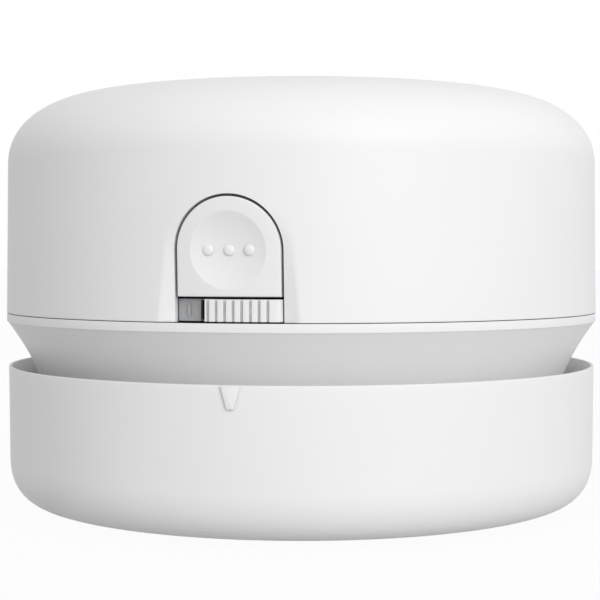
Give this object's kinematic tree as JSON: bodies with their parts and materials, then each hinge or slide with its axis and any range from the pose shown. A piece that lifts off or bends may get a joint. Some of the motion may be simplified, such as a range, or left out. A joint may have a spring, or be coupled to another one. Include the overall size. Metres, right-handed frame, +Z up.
{
  "type": "desktop mini vacuum cleaner",
  "caption": "Round white desktop mini vacuum cleaner: domed motor unit with an arched release button and a ribbed slide switch, on a shallow dust cup with a brushed intake underneath.",
  "frame": {"origin": "on the desk, under the turning axis, at the middle of the four glide feet", "axes": "+Z up along the turning axis; the release button faces -Y and the charging socket +Y"},
  "size_m": [0.085, 0.0851, 0.0599],
  "materials": {
    "white_abs": "fine satin moulded",
    "light_grey_abs": "satin moulded",
    "dark_abs": "satin moulded",
    "soft_rubber": "matt",
    "nylon_bristle": "drawn nylon",
    "filter_felt": "needled felt",
    "zinc_steel": "zinc plated",
    "cell_wrap": "shrink wrap",
    "board_green": "solder mask",
    "clear_guide": "polished",
    "red_lead": "vinyl",
    "black_lead": "vinyl"
  },
  "bodies": {
    "dust_cup": {"dust_cup": "white_abs", "brush_ring": "nylon_bristle", "glide_foot_1": "soft_rubber", "glide_foot_2": "soft_rubber", "glide_foot_3": "soft_rubber", "glide_foot_4": "soft_rubber"},
    "motor_unit": {"top_shell": "white_abs", "lower_housing": "white_abs", "collar_gasket": "soft_rubber", "filter_frame": "light_grey_abs", "filter_pad": "filter_felt", "motor_deck": "light_grey_abs", "switch_plate": "light_grey_abs", "switch_body": "dark_abs", "latch_bracket": "light_grey_abs", "button_spring": "zinc_steel", "motor_can": "zinc_steel", "motor_end_cap": "dark_abs", "motor_damper": "soft_rubber", "battery_cell": "cell_wrap", "battery_cradle": "light_grey_abs", "charge_board": "board_green", "charge_socket": "zinc_steel", "charge_light": "clear_guide", "cell_wire_red": "red_lead", "cell_wire_black": "black_lead", "motor_wire_red": "red_lead", "motor_wire_black": "black_lead", "switch_wire_red": "red_lead", "shell_screw_1": "zinc_steel", "shell_screw_2": "zinc_steel", "shell_screw_3": "zinc_steel", "shell_screw_4": "zinc_steel", "deck_screw_1": "zinc_steel", "deck_screw_2": "zinc_steel", "deck_screw_3": "zinc_steel", "motor_screw_1": "zinc_steel", "motor_screw_2": "zinc_steel", "bracket_screw_1": "zinc_steel", "bracket_screw_2": "zinc_steel"},
    "release_button": {"release_button": "white_abs", "latch_hook": "light_grey_abs"},
    "switch_knob": {"switch_knob": "white_abs"},
    "impeller": {"impeller": "light_grey_abs", "motor_shaft": "zinc_steel"}
  },
  "joints": [
    {"name": "lift_off", "type": "slide", "parent": "dust_cup", "child": "motor_unit", "axis": [0, 0, 1], "range_m": [0, 0.03], "deforming": ["latch_hook"]},
    {"name": "button_press", "type": "slide", "parent": "motor_unit", "child": "release_button", "axis": [0, 1, 0], "range_m": [0, 0.0016], "stiffness_N_per_m": 600, "springref_m": -0.002, "deforming": ["button_spring"]},
    {"name": "switch_slide", "type": "slide", "parent": "motor_unit", "child": "switch_knob", "axis": [-1, 0, 0], "range_m": [0, 0.0032]},
    {"name": "impeller_spin", "type": "hinge", "parent": "motor_unit", "child": "impeller", "pos_m": [0, 0, 0.0159], "axis": [0, 0, 1], "continuous": true}
  ]
}
